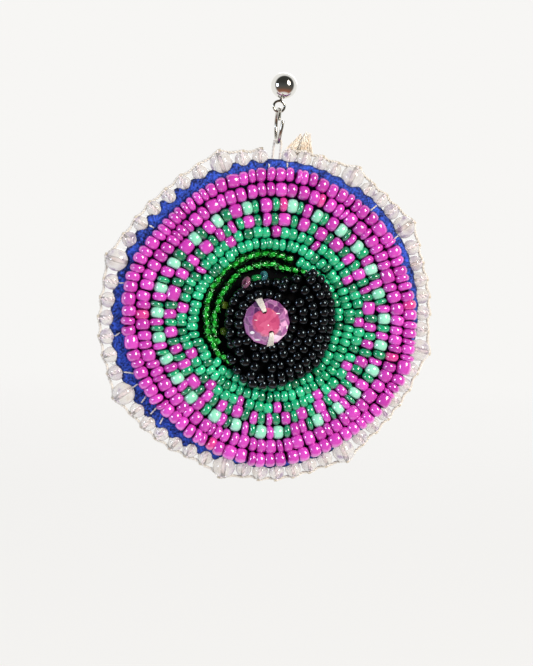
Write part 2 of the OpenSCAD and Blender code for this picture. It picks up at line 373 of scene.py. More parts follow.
felt_low, felt_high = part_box("felt_disc")
felt_centre = (felt_low + felt_high) / 2
felt_r = (felt_high.x - felt_low.x) / 2
felt_half = (felt_high.y - felt_low.y) / 2
small_low, small_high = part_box("small_edge_beads")
small_bead_r = (small_high.y - small_low.y) / 2
large_low, large_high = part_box("large_bead_1")
large_bead_r = (large_high.y - large_low.y) / 2
hang_low, hang_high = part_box("hanging_loop")
row_low, row_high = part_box("magenta_row_outer")
field_centre = (row_low + row_high) / 2
field_centre.y = felt_low.y
field_r = (row_high.x - row_low.x) / 2


def clock_angle(point, centre):
    """The angle of a point round a centre, clockwise from the top, seen from the front."""
    return math.atan2(point.x - centre.x, point.z - centre.z) % math.tau


def on_clock(centre, angle, radius, depth=0.0):
    """The point at a clockwise angle and a radius round a centre, and this far to the back."""
    return centre + Vector((radius * math.sin(angle), depth, radius * math.cos(angle)))


def eased(table, angle, column):
    """A column of a table by the photo's clockwise angles, eased between its rows."""
    degrees = (math.degrees(angle) + CAMERA_ROLL_DEGREES - table[0][0]) % 360 + table[0][0]
    for before, after in zip(table, table[1:]):
        if degrees <= after[0]:
            ease = (1 - math.cos(math.pi * (degrees - before[0]) / (after[0] - before[0]))) / 2
            return before[column] + (after[column] - before[column]) * ease
    return table[-1][column]


def edging_beads():
    """Each edging bead as (angle, distance of its centre from the felt's, its radius)."""
    small_out = felt_r + SMALL_BEAD_OUT
    large_out = felt_r + LARGE_BEAD_OUT
    gap_at = math.asin(((hang_low.x + hang_high.x) / 2 - felt_centre.x) / small_out)
    gap_half = math.asin((hang_high.x - hang_low.x) / 2 / small_out)
    small_half = math.asin(small_bead_r / small_out)
    large_half = math.asin(large_bead_r / large_out)
    stops = [(gap_at, gap_half)]
    for i in range(1, len(SMALLS_IN_RUN)):
        low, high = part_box(f"large_bead_{i}")
        stops.append((clock_angle((low + high) / 2, felt_centre), large_half))
    stops.append((math.tau + gap_at, gap_half))
    beads = []
    for i, smalls in enumerate(SMALLS_IN_RUN):
        start = stops[i][0] + stops[i][1]
        end = stops[i + 1][0] - stops[i + 1][1]
        space = (end - start - 2 * smalls * small_half) / (smalls + 1)
        if i:
            at = stops[i][0]
            beads.append((at, large_out + eased(EDGE_SWAY, at, 2) * MM, large_bead_r))
        for k in range(smalls):
            at = start + space * (k + 1) + small_half * (2 * k + 1)
            out = small_out + eased(EDGE_SWAY, at, 2) * MM
            room = (space + 2 * small_half) * out / 2 - EDGE_BEAD_PLAY
            beads.append((at, out, min(SMALL_BEAD_R, room)))
    return beads


EDGE_BEADS = edging_beads()


def felt_rim(angle, depth):
    """How far the felt reaches at an angle and a depth from its middle plane."""
    near_face = max(0.0, abs(depth) - (felt_half - FELT_EDGE_ROUND))
    rounded = FELT_EDGE_ROUND - math.sqrt(max(0.0, FELT_EDGE_ROUND ** 2 - near_face ** 2))
    reach = felt_r + eased(EDGE_SWAY, angle, 1) * MM - rounded
    for at, out, radius in EDGE_BEADS:
        off = (angle - at + math.pi) % math.tau - math.pi
        if abs(off) < FELT_BITE_HALF_ANGLE:
            inside = (radius + FELT_BITE_GAP) ** 2 - depth ** 2 - (out * math.sin(off)) ** 2
            if inside > 0:
                reach = min(reach, out * math.cos(off) - math.sqrt(inside))
    return reach


def band(a, b, steps):
    """The faces between two rings of points, whose first points have numbers a and b."""
    return [(a + j, a + (j + 1) % steps, b + (j + 1) % steps, b + j) for j in range(steps)]


def felt_mesh():
    """The disc as rings of points: the front from its middle out, the edge, and the back."""
    shares = [i / FELT_FACE_RINGS for i in range(1, FELT_FACE_RINGS)]
    edge = [felt_half * (2 * i / (FELT_EDGE_STEPS - 1) - 1) for i in range(FELT_EDGE_STEPS)]
    rings = [(share, -felt_half) for share in shares] + [(1.0, depth) for depth in edge]
    rings += [(share, felt_half) for share in reversed(shares)]
    turns = [math.tau * j / FELT_STEPS for j in range(FELT_STEPS)]
    points = [felt_centre + Vector((0, side, 0)) for side in (-felt_half, felt_half)]
    for share, depth in rings:
        points += [on_clock(felt_centre, t, felt_rim(t, depth) * share, depth) for t in turns]
    last = 2 + (len(rings) - 1) * FELT_STEPS
    faces = [(0, 2 + (j + 1) % FELT_STEPS, 2 + j) for j in range(FELT_STEPS)]
    for a in range(2, last, FELT_STEPS):
        faces += band(a, a + FELT_STEPS, FELT_STEPS)
    faces += [(1, last + j, last + (j + 1) % FELT_STEPS) for j in range(FELT_STEPS)]
    mesh = new_mesh("felt", points, faces)
    # The rim attribute marks the felt's edge, where painted shade darkens it.
    at_rim = [0.0, 0.0] + [float(share == 1.0) for share, depth in rings for t in turns]
    mesh.attributes.new("rim", "FLOAT", "POINT").data.foreach_set("value", at_rim)
    return mesh


def front_way(flow, centre):
    """The way from a centre to a point as the front shows it."""
    way = flow.vector("SUBTRACT", flow.place(), tuple(centre))
    return flow.vector("MULTIPLY", way, (1, 0, 1))


# Painted shade: the felt's colour is darkened under the rows and at its rim, where the beads' shade
# falls.
felt_cloth, shader, flow = new_finish(
    "blue_felt_cloth", Roughness=0.95, Sheen_Weight=0.03, Sheen_Roughness=0.5
)
clouds = flow.noise(FELT_CLOUDS) * (1 - FELT_NAP_SHARE)
matted = flow.noise(FELT_NAP, 4.0) * FELT_NAP_SHARE + clouds
felt_tone = matted.ramp((0.38, FELT_DARK), (0.66, FELT_BLUE))
at_front = flow.math("LESS_THAN", flow.place().axis("Y"), felt_centre.y)
from_middle = front_way(flow, field_centre).length()
under_rows = from_middle.span(field_r - FELT_ROW_SHADE_FROM, field_r - FELT_ROW_SHADE_TO, 1.0, 0.0)
in_rows = under_rows * at_front * FELT_SHADE_IN_ROWS
at_rim = (flow.attribute("rim") ** 10.0) * FELT_SHADE_AT_RIM
for shade in (in_rows, at_rim):
    felt_tone = flow.mix(shade, felt_tone, paint(*FELT_SHADED))
feed(shader, Base_Color=felt_tone, Normal=matted.bump(1.0, FELT_RELIEF))


def turned(rotation, by):
    """A rotation with a further turn about its own axes."""
    inputs = {"Rotation": rotation, "Rotate By": by}
    return rotation.node("FunctionNodeRotateRotation", inputs, rotation_space="LOCAL")


def felt_tree():
    """The felt, pushed about a little, with fine bent fibres scattered over it."""
    given = new_tree(
        "felt_with_fibres", Uneven="Float", Fibres_per_area="Float", Length="Float", Seed="Int"
    )
    start = given["Geometry"]
    swell = start.node("ShaderNodeTexNoise", {"Scale": FELT_SWELLS, "Detail": 3.0})
    push = start.node("GeometryNodeInputNormal").scaled((swell - 0.5) * given["Uneven"])
    disc = start.node("GeometryNodeSetPosition", {"Geometry": start, "Offset": push})
    roots = start.node(
        "GeometryNodeDistributePointsOnFaces",
        {"Mesh": disc, "Density": given["Fibres per area"], "Seed": given["Seed"]},
    )
    facing = Flow(start.tree, roots.socket.node.outputs["Rotation"])
    hair = start.node("GeometryNodeCurvePrimitiveBezierSegment", {
        "Resolution": 4, "Start": (0, 0, -0.1), "Start Handle": (0.1, 0, 0.35),
        "End Handle": (0.55, 0.2, 0.45), "End": (1.0, 0.1, 0.05),
    })
    spin = start.random((-0.5, -0.5, 0.0), (0.3, 0.5, math.tau), given["Seed"])
    length = start.node(
        "FunctionNodeRandomValue", {2: 0.5, 3: 1.3, "Seed": given["Seed"] + 1}, out=1
    )
    fibres = start.node("GeometryNodeInstanceOnPoints", {
        "Points": roots, "Instance": tube(hair, FIBRE_THICK, 3), "Rotation": turned(facing, spin),
        "Scale": length * given["Length"],
    })
    return end_tree(join([disc, fibres]), felt_cloth)


felt_disc = grow(
    "felt", felt_mesh(), felt_tree(),
    Uneven=FELT_UNEVEN, Fibres_per_area=FELT_FIBRES / (2 * math.pi * felt_r ** 2),
    Length=FIBRE_LENGTH, Seed=4,
)
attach(felt_disc, "medallion")
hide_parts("felt_disc")


# The rows of opaque seed beads, strung on thread and couched down on the felt ring by ring.
# They are short pieces of glass tube with softened ends, so their lengths differ a lot.
BEAD_SIDES = 12
BEAD_ACROSS = 7
BEAD_HOLE = 0.34
BEAD_FORMS = {"ring": 0.95, "barrel": 0.82, "tube": 0.66}
FORM_LIMITS = (0.62, 0.9)
THIN_SHARE, THIN_BEAD = 0.16, 0.7
LONG_SHARE, LONG_BEAD = 0.16, 1.28
BEAD_TIGHT = 1.04
BEAD_TILT = math.radians(11)
BEAD_WANDER = 0.14 * MM
BEAD_ROUGHNESS = 0.09
HOLE_ROUGHNESS = 0.25
# Painted shade toward each bead's hole, as a share.
HOLE_SHADE = 0.75
GLAZE_MOTTLE = 0.35
GLAZE_RELIEF = 0.2 * MM

# Columns of KINDS: usual length and its spread, thickness beside the row's, and the glaze
# from its palest to its deepest.
KINDS = {
    "m": (1.66 * MM, 0.20, 1.19, (212, 66, 192), (176, 40, 156)),
    "h": (1.55 * MM, 0.12, 1.16, (222, 62, 150), (206, 48, 138)),
    "w": (1.86 * MM, 0.10, 1.15, (148, 230, 198), (118, 212, 174)),
    "g": (1.22 * MM, 0.12, 1.12, (0, 162, 106), (0, 104, 70)),
    "l": (1.24 * MM, 0.12, 1.14, (34, 194, 136), (0, 144, 98)),
}

# How the rows stray from true circles. Columns: clockwise angle in the photo, and the
# millimetres outwards for the outermost row and for the middle green one.
ROW_SWAY = [
    (0, 0.3, -0.5), (15, 0.6, -0.45), (30, 0.05, -0.35), (60, 0.3, -0.2), (75, -0.25, 0.3),
    (90, 0.4, 0.6), (112, 0.8, 0.65), (140, 0.05, 0.95), (150, -0.15, 0.8), (180, 0.35, 0.45),
    (200, -0.35, 0.15), (212, -0.6, 0.35), (226, -0.8, 0.5), (242, -0.3, -0.5),
    (262, -0.05, 0.1), (285, 0.25, -0.2), (315, -0.7, -0.95), (342, -0.1, -0.3),
    (360, 0.3, -0.5),
]


def row_radius(node):
    """The radius of the circle that a row's beads are strung on."""
    low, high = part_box(node)
    reach = [high.x - field_centre.x, field_centre.x - low.x, high.z - field_centre.z]
    return max(reach) - (high.y - low.y) / 2


OUTER_R, INNER_R = row_radius("magenta_row_outer"), row_radius("green_row_middle")


# The photo's charts, at its own angles: where each mint or magenta bead lies in its row,
# clockwise from the photo's top, and the beads that follow it.
MINTS = [
    (11.5, "gm"), (25, "gm"), (39.5, "gm"), (51, "gm"), (65, "gm"), (78, "gm"), (90.5, "gm"),
    (104, "gm"), (117, "gm"), (131.5, "gm"), (143, "gm"), (155, "gmmg"), (175.5, "m"),
    (185, "gm"), (197.5, "gm"), (210, "gm"), (225, "gm"), (237, "gm"), (249, "gm"),
    (260.5, "gm"), (273, "gm"), (286, "gm"), (299.5, "gm"), (316.5, "gm"), (331.5, "gm"),
    (348.5, "gmgh"),
]
LONE_MAGENTAS = [
    (4, "lllg"), (33, "lglll"), (65, "gllg"), (93, "llgl"), (122, "lgl"), (147.5, "lllg"),
    (175, "lgl"), (199, "lll"), (222, "gll"), (246, "llgll"), (277.5, "lglg"), (305.5, "llll"),
    (333, "lgll"),
]


def bead_form(name, squareness, sides=BEAD_SIDES, across=BEAD_ACROSS, hole=BEAD_HOLE):
    """A drilled bead of length and thickness 1 along X. Its end attribute is 1 at the hole."""
    section = []
    for i in range(across):
        t = math.pi * (i / (across - 1) - 0.5)
        along = 0.5 * math.copysign(abs(math.sin(t)) ** squareness, t)
        out = hole / 2 + (0.5 - hole / 2) * max(0.0, math.cos(t)) ** squareness
        section.append((along, out, abs(t) * 2 / math.pi))
    points = []
    faces = []
    for j in range(sides):
        turn = math.tau * j / sides
        points += [(x, r * math.cos(turn), r * math.sin(turn)) for x, r, end in section]
        faces += band((j + 1) % sides * across, j * across, across)
    mesh = new_mesh(name, points, faces)
    ends = [end for x, r, end in section] * sides
    mesh.attributes.new("end", "FLOAT", "POINT").data.foreach_set("value", ends)
    return bpy.data.objects.new(name, mesh)


def points_mesh(beads):
    """Bare points for beads given as (place, turn, size, form, glaze), for a tree to dress."""
    mesh = new_mesh("points", [bead[0] for bead in beads], [])
    columns = [
        ("turn", "FLOAT_VECTOR", "vector"), ("size", "FLOAT_VECTOR", "vector"),
        ("form", "INT", "value"), ("glaze", "FLOAT_COLOR", "color"),
    ]
    for column, (label, kind, field) in enumerate(columns, 1):
        values = [bead[column] for bead in beads]
        if kind != "INT":
            values = [part for value in values for part in value]
        mesh.attributes.new(label, kind, "POINT").data.foreach_set(field, values)
    return mesh


def bead_tree(name, material, forms):
    """Sets a bead of its own form, turn and size on each point, each one a little astray."""
    given = new_tree(name, Wander="Float", Tilt="Float", Seed="Int")
    start = given["Geometry"]

    def column(label, kind="FLOAT_VECTOR"):
        return start.node("GeometryNodeInputNamedAttribute", {"Name": label}, data_type=kind)

    def astray(reach, seed):
        return start.random((-1, -1, -1), (1, 1, 1), given["Seed"] + seed).scaled(reach)

    moved = {"Geometry": start, "Offset": astray(given["Wander"], 0)}
    points = start.node("GeometryNodeSetPosition", moved)
    turn = start.node("FunctionNodeEulerToRotation", {"Euler": column("turn")})
    askew = turned(turn, astray(given["Tilt"], 1))
    strung = []
    for i, form in enumerate(forms):
        asked = {2: column("form", "INT"), 3: i}
        chosen = start.node("FunctionNodeCompare", asked, data_type="INT", operation="EQUAL")
        bead = start.node("GeometryNodeObjectInfo", {"Object": form, "As Instance": True}, out=4)
        strung.append(start.node("GeometryNodeInstanceOnPoints", {
            "Points": points, "Selection": chosen, "Instance": bead,
            "Rotation": askew, "Scale": column("size"),
        }))
    return end_tree(join(strung), material)


def glass_finish(name, **constants):
    """Pressed glass: the bead's own glaze, a little cloudy and duller into its hole, with painted
    shade darkening it toward its hole.
    """
    material, shader, flow = new_finish(name, **constants)
    end = flow.attribute("end")
    # Painted shade: the glaze darkens toward black at the bead's ends, into its hole.
    shaded = flow.mix((end ** 3.0) * HOLE_SHADE, flow.attribute("glaze", "Color"), (0, 0, 0, 1))
    clouds = flow.noise(1500, 3.0) * GLAZE_MOTTLE
    feed(
        shader, Base_Color=flow.mix(clouds, shaded, (1, 1, 1, 1), "SOFT_LIGHT"),
        Roughness=end * HOLE_ROUGHNESS + BEAD_ROUGHNESS,
        Normal=flow.noise(900).bump(0.25, GLAZE_RELIEF),
    )
    return material


def along_row(at):
    """The turn that lays a bead's hole along its row, at a clockwise angle."""
    return Matrix((
        (math.cos(at), math.sin(at), 0), (0, 0, -1), (-math.sin(at), math.cos(at), 0),
    ))


def mixed_paint(pale, deep, share):
    """A colour this share of the way from a pale one to a deep one."""
    return tuple(p + (d - p) * share for p, d in zip(paint(*pale), paint(*deep)))


class Row:
    """One row of beads on the felt: its circle and thickness come from its node's box."""

    def __init__(self, node, seed, route=None):
        low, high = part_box(node)
        self.thickness = high.y - low.y
        self.height = (low.y + high.y) / 2 - field_centre.y
        self.radius = row_radius(node)
        self.route = route
        self.chance = random.Random(seed)
        self.beads = []

    def place(self, at):
        """The point of the row's own string at a clockwise angle."""
        if self.route:
            return on_clock(field_centre, at, eased(self.route, at, 1) * MM, self.height)
        outward = (self.radius - INNER_R) / (OUTER_R - INNER_R)
        near, far = eased(ROW_SWAY, at, 2), eased(ROW_SWAY, at, 1)
        radius = self.radius + (near + (far - near) * outward) * MM
        return on_clock(field_centre, at, radius, self.height)

    def length(self, letter):
        """The length of a bead of this kind: mostly usual, at times much shorter or longer."""
        usual, spread = KINDS[letter][:2]
        odd = self.chance.random()
        if letter == "m" and odd < THIN_SHARE:
            usual *= THIN_BEAD
        elif letter == "m" and odd > 1 - LONG_SHARE:
            usual *= LONG_BEAD
        return usual * (1 + self.chance.uniform(-spread, spread))

    def lay(self, letter, at, length):
        """Strings one bead of this kind at a clockwise angle."""
        usual, spread, plump, pale, deep = KINDS[letter]
        thickness = self.thickness * plump * self.chance.uniform(0.95, 1.03)
        form = sum(length / thickness >= limit for limit in FORM_LIMITS)
        roll = Matrix.Rotation(self.chance.uniform(0, math.tau), 3, "X")
        glaze = mixed_paint(pale, deep, self.chance.random())
        size = (length * BEAD_TIGHT, thickness, thickness)
        self.beads.append((self.place(at), (along_row(at) @ roll).to_euler(), size, form, glaze))

    def fill(self, letters, start, end):
        """Strings beads of these kinds so that they fill the row between two angles."""
        lengths = [self.length(letter) for letter in letters]
        fit = (end - start) * self.radius / sum(lengths)
        at = start
        for letter, length in zip(letters, lengths):
            step = length * fit / self.radius
            self.lay(letter, at + step / 2, length * fit)
            at += step

    def chart(self, marks, letter):
        """Strings a bead of one kind at each charted angle, and the letters beside that
        angle from there to the next one."""
        marks = [(math.radians(at - CAMERA_ROLL_DEGREES), between) for at, between in marks]
        marks.append((marks[0][0] + math.tau, ""))
        for (at, between), (following, nothing) in zip(marks, marks[1:]):
            length = self.length(letter)
            half = length / 2 / self.radius
            self.lay(letter, at, length)
            self.fill(between, at + half, following - half)


lustre = glass_finish(
    "opaque_bead_glass", Coat_Weight=1.0, Coat_Roughness=0.2, Coat_IOR=1.85, IOR=1.52
)
bead_grower = bead_tree("bead_row", lustre, [bead_form(*form) for form in BEAD_FORMS.items()])


def finish_row(name, row, node, tree, wander=BEAD_WANDER, tilt=BEAD_TILT):
    """Grows a row's beads from its points and puts them in the place of its node."""
    placing = {"Wander": wander, "Tilt": tilt, "Seed": len(row.beads)}
    beads = grow(name, points_mesh(row.beads), tree, **placing)
    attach(beads, "medallion")
    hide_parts(node)


def plain_row(node, count, seed, rare, usual, share, start=0.0, end=math.tau):
    """A row of one usual kind of bead, with a share of rarer ones."""
    row = Row(node, seed)
    row.fill([rare if row.chance.random() < share else usual for i in range(count)], start, end)
    return row


rows = {
    "magenta_row_outer": plain_row("magenta_row_outer", 91, 11, "h", "m", 0.03),
    "magenta_row_inner": plain_row("magenta_row_inner", 81, 12, "h", "m", 0.03),
    "green_row_middle": plain_row("green_row_middle", 65, 16, "g", "l", 0.3),
    "green_row_inner": plain_row(
        "green_row_inner", 33, 17, "g", "l", 0.3, math.radians(24), math.radians(231)
    ),
}
rows["mixed_row_outer"] = Row("mixed_row_outer", 13)
rows["mixed_row_outer"].chart(MINTS, "w")
rows["mixed_row_inner"] = Row("mixed_row_inner", 14)
rows["mixed_row_inner"].fill("gm" * 13 + "m" + "gm" * 21, math.radians(-1.5), math.radians(358.5))
rows["green_row_outer"] = Row("green_row_outer", 15)
rows["green_row_outer"].chart(LONE_MAGENTAS, "m")
for node, row in rows.items():
    finish_row(node + "_beads", row, node, bead_grower)


# Two short arcs of fine emerald beads, lined with silver. The clear green glass is dark at
# its sides, and the crimped lining shows through its middle with painted glints and a painted glow.
EMERALD_GLASS = (98, 230, 126)
LINING_DARK = (24, 150, 62)
LINING_PAINTED_GLINT = (252, 255, 246)
EMERALD_WANDER = 0.17 * MM
EMERALD_TILT = math.radians(15)
EMERALD_LENGTH = 1.36 * MM
EMERALD_PLUMP = 0.9
LINING_SHARE = 0.56
LINING_PAINTED_GLOW = 0.66
LINING_SMOOTH = 0.06
LINING_ROUGH = 0.41
LINING_SIDES = 5
LINING_CRIMPS = 4
LINING_LENGTH = 0.94
LINING_NIP = 0.82
LINING_TWIST = 0.22

# The way of each arc: clockwise angle in the photo, and millimetres from the rows' centre.
EMERALD_ROUTES = {
    "emerald_row_outer": [
        (219, 10.1), (229, 10.2), (239, 10.8), (270, 10.9), (300, 11.2), (352, 11.2), (382, 10.85),
    ],
    "emerald_row_inner": [
        (243, 10.1), (256, 9.6), (270, 9.4), (289, 9.15), (304, 9.0), (318, 9.4), (347, 9.2),
        (360, 9.3), (377, 8.95), (388, 9.2), (401, 10.1),
    ],
}


def lining_form():
    """A five-sided silver tube, crimped along its length, as wide as the bead's hole."""
    points = []
    faces = [tuple(range(LINING_SIDES - 1, -1, -1))]
    for i in range(LINING_CRIMPS + 1):
        along = (i / LINING_CRIMPS - 0.5) * LINING_LENGTH
        wide = LINING_SHARE / 2 * (LINING_NIP if i % 2 else 1.0)
        for j in range(LINING_SIDES):
            turn = math.tau * j / LINING_SIDES + LINING_TWIST * i
            points.append((along, wide * math.cos(turn), wide * math.sin(turn)))
        if i < LINING_CRIMPS:
            faces += band(i * LINING_SIDES, (i + 1) * LINING_SIDES, LINING_SIDES)
    faces.append(tuple(range(LINING_CRIMPS * LINING_SIDES, len(points))))
    return bpy.data.objects.new("silver_lining", new_mesh("silver_lining", points, faces))


emerald, shader, flow = new_finish(
    "emerald_bead_glass", Base_Color=paint(*EMERALD_GLASS), Transmission_Weight=1.0,
    Roughness=0.03, IOR=1.38,
)
# The lining glows as painted light, and its white flecks are painted glints.
lining, shader, flow = new_finish("silver_lining", Metallic=0.4, Emission_Strength=LINING_PAINTED_GLOW)
painted_glints = flow.noise(3100, 1.0).ramp((0.5, LINING_DARK), (0.6, LINING_PAINTED_GLINT))
feed(
    shader, Base_Color=painted_glints, Emission_Color=painted_glints,
    Roughness=flow.noise(2200).span(0.4, 0.62, LINING_SMOOTH, LINING_ROUGH),
    Normal=flow.noise(2600).bump(1.0, 0.16 * MM),
)
emerald_tube = bead_form("emerald_tube", 0.6, hole=LINING_SHARE * 1.1)
emerald_grower = bead_tree("emerald_row", emerald, [emerald_tube])
lining_grower = bead_tree("lining_row", lining, [lining_form()])
for node, route in EMERALD_ROUTES.items():
    row = Row(node, 21, route)
    start, end = (math.radians(route[i][0] - CAMERA_ROLL_DEGREES) for i in (0, -1))
    row.thickness *= EMERALD_PLUMP
    row.fill("g" * round((end - start) * row.radius / EMERALD_LENGTH), start, end)
    row.beads = [(place, turn, size, 0, glaze) for place, turn, size, form, glaze in row.beads]
    finish_row(
        node + "_beads", row, node, emerald_grower, EMERALD_WANDER, EMERALD_TILT
    )
    linings = grow(
        node + "_linings", points_mesh(row.beads), lining_grower,
        Wander=EMERALD_WANDER, Tilt=EMERALD_TILT, Seed=len(row.beads),
    )
    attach(linings, "medallion")


# The mound: round black beads sewn close over a padded core, ring by ring round its middle.
# The core, and a patch under the mound and its strands, are black as painted shade.
BLACK_GLAZE = (4, 4, 6)
BLACK_SHEEN = (212, 240, 255)
BLACK_BEAD = 1.86 * MM
BLACK_PITCH = 1.64 * MM
BLACK_CLOSEST = 1.38 * MM
BLACK_WANDER = 0.1 * MM
BLACK_TILT = math.radians(24)
MOUND_STEPS = 72

# The mound's outline: clockwise angle in the photo, and millimetres from the rows' centre to
# the middles of its outermost beads. It bulges over the innermost green row at the lower left
# and the upper right.
MOUND_OUTLINE = [
    (0, 6.0), (15, 6.3), (28, 7.2), (37, 8.4), (47, 10.9), (60, 10.8), (75, 10.7), (90, 10.4),
    (108, 10.2), (122, 10.6), (137, 10.9), (160, 10.8), (175, 11.3), (192, 11.6), (205, 11.2),
    (222, 9.7), (240, 7.9), (255, 7.2), (272, 7.0), (300, 6.9), (320, 6.6), (340, 6.2), (360, 6.0),
]

# Columns of MOUND_RINGS and CORE_PROFILE: how far from the stone to the outline, and the
# height as a share of the mound's. The last ring fills the mound's side below its shoulder.
MOUND_RINGS = [
    (0.0, 0.79), (1.0, 0.56), (0.8, 0.745), (0.54, 0.79), (0.27, 0.81), (0.97, 0.24), (0.67, 0.76),
    (0.4, 0.79), (0.13, 0.78), (0.9, 0.66),
]
CORE_PROFILE = [
    (0.8, 0.0), (0.8, 0.3), (0.76, 0.42), (0.6, 0.5), (0.4, 0.56), (0.14, 0.6), (0.0, 0.97),
]
STONE_RING_OUT = 0.72 * MM
CORE_UNDER_STONE = 3.3 * MM
LOWEST_RING_REACH = 10.0 * MM
SHADE_PATCH_THICK = 0.2 * MM

mound_low, mound_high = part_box("black_bead_dome")
mound_height = mound_high.y - mound_low.y
stone_low, stone_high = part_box("sew_on_stone")
stone_centre = (stone_low + stone_high) / 2
stone_r = (stone_high.x - stone_low.x) / 2


def black_bead(place, at, chance):
    """A black bead at a place, its hole along the ring that it is sewn in."""
    thick = BLACK_BEAD * chance.uniform(0.94, 1.06)
    size = (thick * chance.uniform(0.74, 0.95), thick, thick)
    return place, along_row(at).to_euler(), size, 0, paint(*BLACK_GLAZE)


def mound_point(at, inner_r, share, rise):
    """A point this share of the way from a circle round the stone to the mound's outline."""
    stone_foot = Vector((stone_centre.x, field_centre.y, stone_centre.z))
    inner = on_clock(stone_foot, at, inner_r)
    outer = on_clock(field_centre, at, eased(MOUND_OUTLINE, at, 1) * MM)
    return inner.lerp(outer, share) + Vector((0, -rise * mound_height, 0))


def mound_beads():
    """Points for the black beads, ring by ring, where there is room for one more."""
    chance = random.Random(31)
    beads = []
    for share, rise in MOUND_RINGS:
        at = chance.uniform(0, math.tau)
        full_turn = at + math.tau
        while at < full_turn:
            place = mound_point(at, stone_r + STONE_RING_OUT, share, rise)
            from_stone = math.hypot(place.x - stone_centre.x, place.z - stone_centre.z)
            from_middle = math.hypot(place.x - field_centre.x, place.z - field_centre.z)
            crowded = any((place - bead[0]).length < BLACK_CLOSEST for bead in beads)
            if not crowded and (rise > 0.5 or from_middle < LOWEST_RING_REACH):
                beads.append(black_bead(place, at, chance))
            at += BLACK_PITCH / from_stone
    return beads


def drum(name, rings):
    """A closed object through rings of points, with one face over each end."""
    points = [point for ring in rings for point in ring]
    faces = [tuple(range(MOUND_STEPS))]
    for a in range(0, len(points) - MOUND_STEPS, MOUND_STEPS):
        for j in range(MOUND_STEPS):
            k = (j + 1) % MOUND_STEPS
            faces.append((a + j, a + MOUND_STEPS + j, a + MOUND_STEPS + k, a + k))
    faces.append(tuple(range(len(points) - 1, len(points) - MOUND_STEPS - 1, -1)))
    part = bpy.data.objects.new(name, new_mesh(name, points, faces))
    bpy.context.scene.collection.objects.link(part)
    return part


black = glass_finish("black_bead_glass", IOR=1.56, Specular_Tint=paint(*BLACK_SHEEN))
black_grower = bead_tree("mound_rings", black, [bead_form("black_bead", 0.95, hole=0.28)])
black_beads = grow(
    "mound_black_beads", points_mesh(mound_beads()), black_grower,
    Wander=BLACK_WANDER, Tilt=BLACK_TILT, Seed=7,
)
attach(black_beads, "medallion")
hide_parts("black_bead_dome")

# Painted shade: black cloth for the core and the patch, so the gaps between beads and strands read
# dark.
core_cloth, shader, flow = new_finish(
    "core_cloth", Base_Color=paint(*BLACK_GLAZE), Roughness=0.9, Specular_IOR_Level=0.1
)
feed(shader, Normal=flow.noise(2400).bump(0.6, 0.1 * MM))
mound_turns = [math.tau * j / MOUND_STEPS for j in range(MOUND_STEPS)]
core = drum("mound_core", [
    [mound_point(t, CORE_UNDER_STONE, share, rise) for t in mound_turns]
    for share, rise in CORE_PROFILE
])
patch = drum("black_felt_patch", [
    [on_clock(field_centre, t, INNER_R, -thick) for t in mound_turns]
    for thick in (0.0, SHADE_PATCH_THICK)
])
for part in (core, patch):
    dress(part, core_cloth)
    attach(part, "medallion")


# Five odd beads caught between the mound's shoulder and the emerald arcs, pulled in with the
# thread of the black ones: a purple one on edge, an emerald tube, a teal one and two olive ones.
# Columns of STRAY_BEADS: name, clockwise angle in the photo, millimetres from the rows'
# centre, height as a share of the mound's, the hole's turn and its angle to the front,
# length, thickness, and colour.
STRAY_BEADS = [
    ("purple", 325.5, 7.5, 0.6, 18, 20, 0.75, 2.15, (206, 136, 172)),
    ("emerald", 340.5, 7.35, 0.58, -10, 12, 1.7, 1.2, (30, 190, 100)),
    ("teal", 350.5, 7.4, 0.58, 12, 28, 0.85, 1.75, (84, 160, 172)),
    ("olive_upper", 286, 8.1, 0.25, 0, 12, 1.0, 1.3, (130, 156, 50)),
    ("olive_lower", 254, 8.3, 0.25, 0, 12, 1.0, 1.3, (104, 140, 40)),
]

stray_form = bead_form("stray_bead", 0.9, BEAD_SIDES * 2, BEAD_ACROSS + 4, hole=0.52)
for name, degrees, out, rise, swing, toward, length, thick, colour in STRAY_BEADS:
    at = math.radians(degrees - CAMERA_ROLL_DEGREES)
    place = on_clock(field_centre, at, out * MM, -rise * mound_height)
    turn = Euler((0, math.radians(swing), math.radians(toward)))
    glass, shader, flow = new_finish(
        name + "_stray_glass", Base_Color=paint(*colour), Transmission_Weight=0.7, Roughness=0.08
    )
    size = (length * MM, thick * MM, thick * MM)
    stray = grow(
        name + "_stray_bead", points_mesh([(place, turn, size, 0, paint(*colour))]),
        bead_tree(name + "_stray", glass, [stray_form]), Wander=0.0, Tilt=0.0, Seed=1,
    )
    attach(stray, "medallion")


# The stone: a round sew-on rhinestone of pink acrylic on a bright foil back. Its broken
# reflections are painted: rose in the table, lilac round it, lighter to the lower right, with pale
# facet edges and a few white glints.
STONE_ROSE = [
    (0.1, (172, 60, 104)), (0.45, (192, 78, 120)), (0.72, (206, 104, 142)), (0.8, (224, 106, 98)),
]
STONE_PLUM = [
    (0.1, (84, 40, 92)), (0.32, (122, 62, 120)), (0.5, (160, 90, 154)), (0.68, (222, 148, 202)),
    (0.85, (246, 216, 244)),
]
STONE_EDGE_HIGHLIGHT = (236, 176, 218)
STONE_TABLE = 0.6
STONE_TABLE_EDGE = 0.03
STONE_SECTORS = 14
STONE_FACET_ROWS = 3.4
STONE_TABLE_FACETS = 1300.0
STONE_UNEVEN = 0.85
STONE_CONTRAST = 0.55
STONE_CLOUDS = 0.3
STONE_LIGHT_SLOPE = 0.16
STONE_RAGGED = 0.5
STONE_FACET_EDGE = 0.07
STONE_EDGE_HIGHLIGHT_SHARE = 0.22

